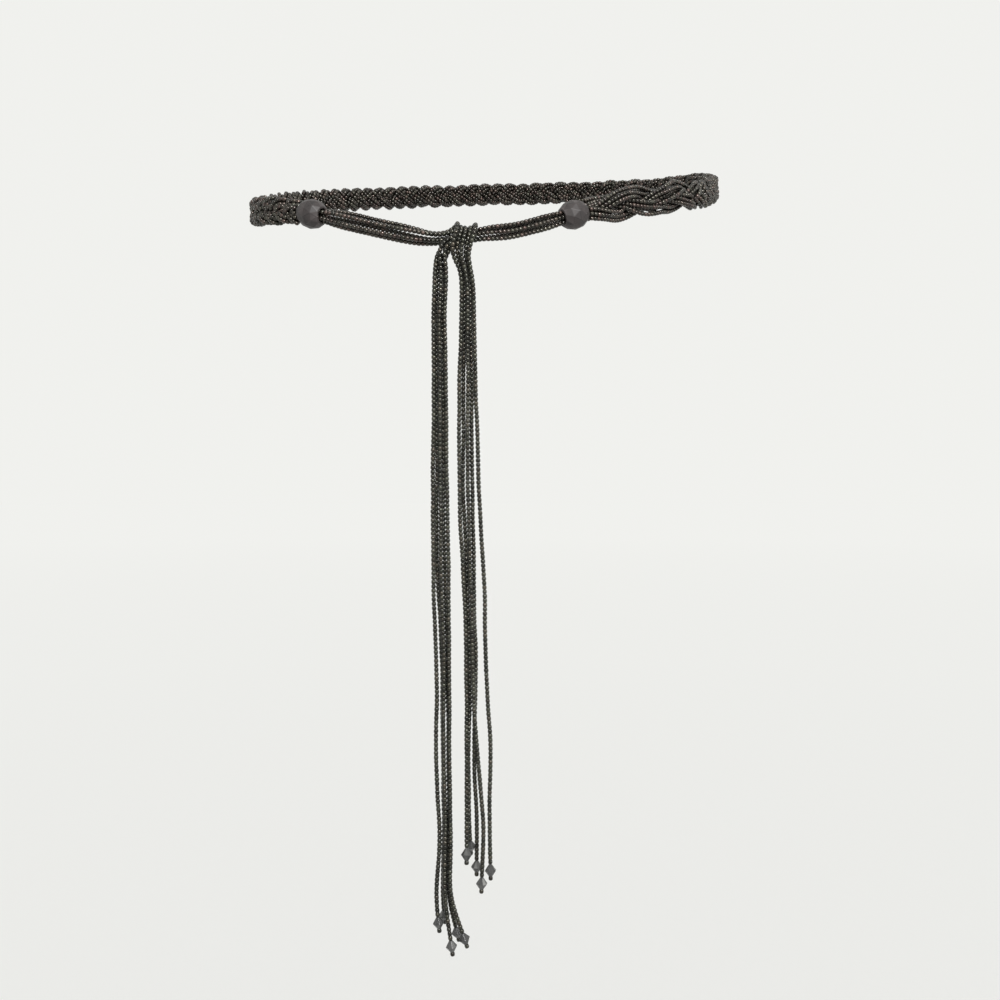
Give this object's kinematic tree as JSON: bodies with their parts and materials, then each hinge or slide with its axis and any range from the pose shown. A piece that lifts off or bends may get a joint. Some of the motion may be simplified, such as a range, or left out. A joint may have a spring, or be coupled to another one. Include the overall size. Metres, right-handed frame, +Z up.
{
  "type": "beaded tie belt",
  "caption": "Hip belt of glass seed-bead strings: plaited body, a large faceted bead at each end of the plait, half knot at the front and long tails tipped with crystals.",
  "frame": {"origin": "middle of the loop, where the hips go through it", "axes": "+Z up and +Y towards the wearer's back, so the knot and its tails are on the -Y side, a little towards -X"},
  "size_m": [0.3412, 0.2445, 0.5347],
  "materials": {
    "bronze_beads": "glossy lustred glass seed beads, bronze with reddish ones among them",
    "olive_beads": "glossy lustred glass seed beads, olive bronze",
    "smoky_bead": "translucent smoky brown-grey faceted glass",
    "clear_crystal": "clear grey faceted crystal"
  },
  "bodies": {
    "root": {"plait_strand_1": "bronze_beads", "plait_strand_2": "bronze_beads", "plait_strand_3": "bronze_beads", "large_bead_left": "smoky_bead", "large_bead_right": "smoky_bead", "bead_core_left": "bronze_beads", "bead_core_right": "bronze_beads", "tie_string_left_1": "bronze_beads", "tie_string_left_2": "bronze_beads", "tie_string_left_3": "bronze_beads", "tie_string_left_4": "bronze_beads", "tie_string_left_5": "bronze_beads", "tie_string_right_1": "bronze_beads", "tie_string_right_2": "bronze_beads", "tie_string_right_3": "bronze_beads", "tie_string_right_4": "bronze_beads", "tie_string_right_5": "bronze_beads", "knot_turn_left": "olive_beads", "knot_turn_right": "olive_beads", "tail_string_left_1": "olive_beads", "tail_string_left_2": "olive_beads", "tail_string_left_3": "olive_beads", "tail_string_left_4": "olive_beads", "tail_string_left_5": "olive_beads", "tail_string_right_1": "olive_beads", "tail_string_right_2": "olive_beads", "tail_string_right_3": "olive_beads", "tail_string_right_4": "olive_beads", "tail_string_right_5": "olive_beads", "crystal_left_1": "clear_crystal", "crystal_left_2": "clear_crystal", "crystal_left_3": "clear_crystal", "crystal_left_4": "clear_crystal", "crystal_left_5": "clear_crystal", "crystal_right_1": "clear_crystal", "crystal_right_2": "clear_crystal", "crystal_right_3": "clear_crystal", "crystal_right_4": "clear_crystal", "crystal_right_5": "clear_crystal"}
  },
  "joints": []
}
